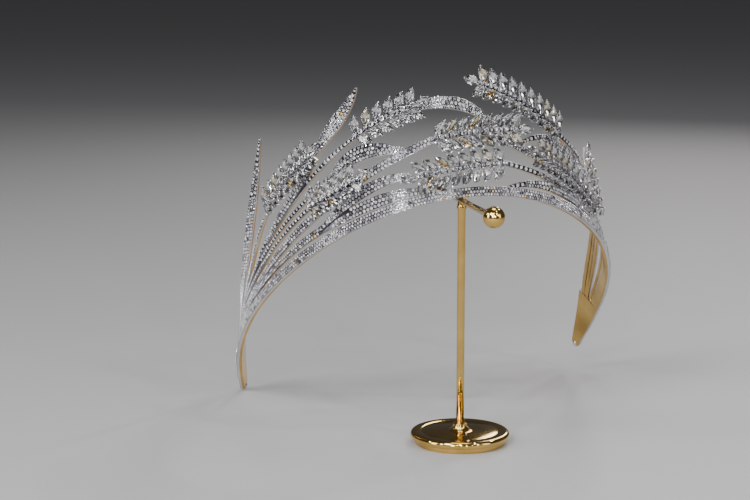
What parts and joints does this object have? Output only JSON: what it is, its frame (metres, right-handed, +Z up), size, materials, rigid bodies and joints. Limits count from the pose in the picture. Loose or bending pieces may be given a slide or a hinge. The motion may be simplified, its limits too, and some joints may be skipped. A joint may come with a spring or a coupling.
{
  "type": "wheat-ear diadem on a T-bar stand",
  "caption": "Open jewelled head band with pierced wheat ears of marquise stones and small-stone leaves, hung over the cross bar of a plain round-footed brass stand.",
  "frame": {"origin": "centre of the flat underside of the stand's round foot", "axes": "+Z up along the post; -Y towards the viewer, the way the front of the diadem and of the bar faces; +X to the viewer's right"},
  "size_m": [0.1473, 0.1375, 0.1335],
  "materials": {
    "silver_setting": "polished white metal, plain on the inner side",
    "clear_stone": "faceted and polished",
    "polished_brass": "polished"
  },
  "bodies": {
    "root": {"frame": "silver_setting", "ear_a_stones": "clear_stone", "ear_b_stones": "clear_stone", "ear_c_stones": "clear_stone", "ear_d_stones": "clear_stone", "ear_e_stones": "clear_stone", "ear_f_stones": "clear_stone", "ear_g_stones": "clear_stone", "ear_h_stones": "clear_stone", "stand_foot": "polished_brass", "stand_tee": "polished_brass", "stand_knob_front": "polished_brass", "stand_knob_back": "polished_brass"}
  },
  "joints": []
}
